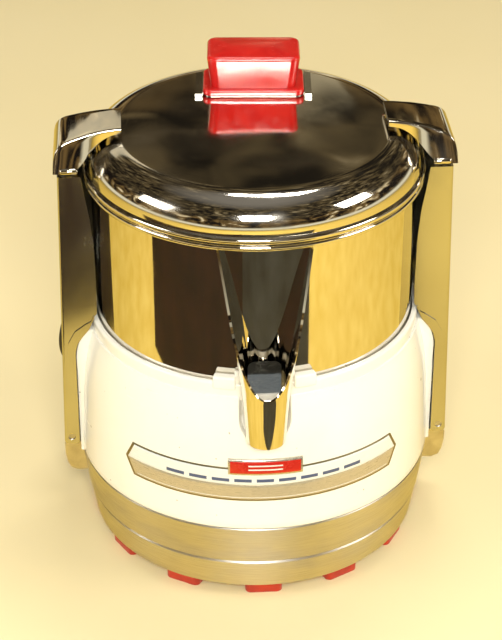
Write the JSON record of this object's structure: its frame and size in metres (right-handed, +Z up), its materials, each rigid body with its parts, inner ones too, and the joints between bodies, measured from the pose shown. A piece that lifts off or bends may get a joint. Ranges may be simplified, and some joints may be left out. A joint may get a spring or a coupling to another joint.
{
  "type": "centrifugal juicer",
  "caption": "Tabletop centrifugal juicer with a white body on a metal skirt, a polished bowl and lid held by swing-up clamps, a front spout and a feed-chute pusher.",
  "frame": {"origin": "on the bowl's axis at the level of the table, under the feet", "axes": "+Z up, -Y towards the juice spout, +X towards the right-hand clamp"},
  "size_m": [0.2154, 0.2168, 0.262],
  "materials": {
    "skirt_metal": "satin, brushed round",
    "pan_steel": "plain sheet",
    "white_enamel": "glossy baked enamel",
    "screw_steel": "zinc plated",
    "band_print": "printed foil under lacquer",
    "plaque_red": "enamelled",
    "polished_steel": "mirror polished stainless",
    "seal_rubber": "matte",
    "cast_metal": "cast and tumbled",
    "clamp_steel": "brushed stainless",
    "hook_chrome": "bright pressed",
    "chute_steel": "satin stainless",
    "red_plastic": "glossy, slightly translucent",
    "red_rubber": "satin",
    "lamination_iron": "stacked sheet",
    "copper_wire": "varnished wire",
    "can_metal": "drawn can",
    "black_plastic": "fine grain",
    "fan_plastic": "moulded",
    "hub_plastic": "moulded",
    "basket_steel": "satin stainless",
    "clutch_metal": "machined"
  },
  "bodies": {
    "base": {"badge_band": "band_print", "badge_plaque": "plaque_red", "base_ring": "skirt_metal", "body_screws": "screw_steel", "bottom_pan": "pan_steel", "bowl": "polished_steel", "bowl_seal": "seal_rubber", "bracket_screws_left": "screw_steel", "bracket_screws_right": "screw_steel", "capacitor": "can_metal", "capacitor_clip": "pan_steel", "cord_gland": "black_plastic", "foot_01": "red_rubber", "foot_02": "red_rubber", "foot_03": "red_rubber", "foot_04": "red_rubber", "foot_05": "red_rubber", "foot_06": "red_rubber", "foot_07": "red_rubber", "foot_08": "red_rubber", "foot_09": "red_rubber", "foot_10": "red_rubber", "foot_11": "red_rubber", "foot_12": "red_rubber", "hinge_bracket_left": "cast_metal", "hinge_bracket_right": "cast_metal", "hinge_pin_left": "screw_steel", "hinge_pin_right": "screw_steel", "housing": "white_enamel", "lower_bearing": "screw_steel", "lower_end_bell": "cast_metal", "motor_mounts": "seal_rubber", "pan_screws": "screw_steel", "spout": "polished_steel", "stator_core": "lamination_iron", "stator_windings": "copper_wire", "switch_body": "black_plastic", "tie_bolts": "screw_steel", "upper_bearing": "screw_steel", "upper_end_bell": "cast_metal"},
    "rotor": {"motor_shaft": "screw_steel", "rotor_core": "lamination_iron", "cooling_fan": "fan_plastic", "drive_hub": "hub_plastic", "strainer_basket": "basket_steel", "cutter_disc": "basket_steel", "clutch_nut": "clutch_metal"},
    "lid": {"lid_shell": "polished_steel", "feed_chute": "chute_steel"},
    "pusher_body": {"pusher": "red_plastic"},
    "left_clamp": {"arm_left": "clamp_steel", "hook_left": "hook_chrome", "hook_rivets_left": "screw_steel"},
    "right_clamp": {"arm_right": "clamp_steel", "hook_right": "hook_chrome", "hook_rivets_right": "screw_steel"},
    "switch": {"switch_knob": "black_plastic"}
  },
  "joints": [
    {"name": "rotor_spin", "type": "hinge", "parent": "base", "child": "rotor", "pos_m": [0, 0, 0.15], "axis": [0, 0, 1], "continuous": true},
    {"name": "lid_lift", "type": "slide", "parent": "base", "child": "lid", "axis": [0, 0, 1], "range_m": [0, 0.075]},
    {"name": "pusher_slide", "type": "slide", "parent": "lid", "child": "pusher_body", "axis": [0, 0, 1], "range_m": [0, 0.075]},
    {"name": "left_clamp_swing", "type": "hinge", "parent": "base", "child": "left_clamp", "pos_m": [-0.102, 0, 0.06], "axis": [0, -1, 0], "range_deg": [0, 100]},
    {"name": "right_clamp_swing", "type": "hinge", "parent": "base", "child": "right_clamp", "pos_m": [0.102, 0, 0.06], "axis": [0, 1, 0], "range_deg": [0, 100]},
    {"name": "switch_turn", "type": "hinge", "parent": "base", "child": "switch", "pos_m": [-0.08829, 0.04695, 0.085], "axis": [-0.8829, 0.4695, 0], "range_deg": [0, 90]}
  ],
  "couplings": [
    {"joint": "left_clamp_swing", "follows": "lid_lift", "rad_per_m": 23.27},
    {"joint": "right_clamp_swing", "follows": "lid_lift", "rad_per_m": 23.27}
  ]
}
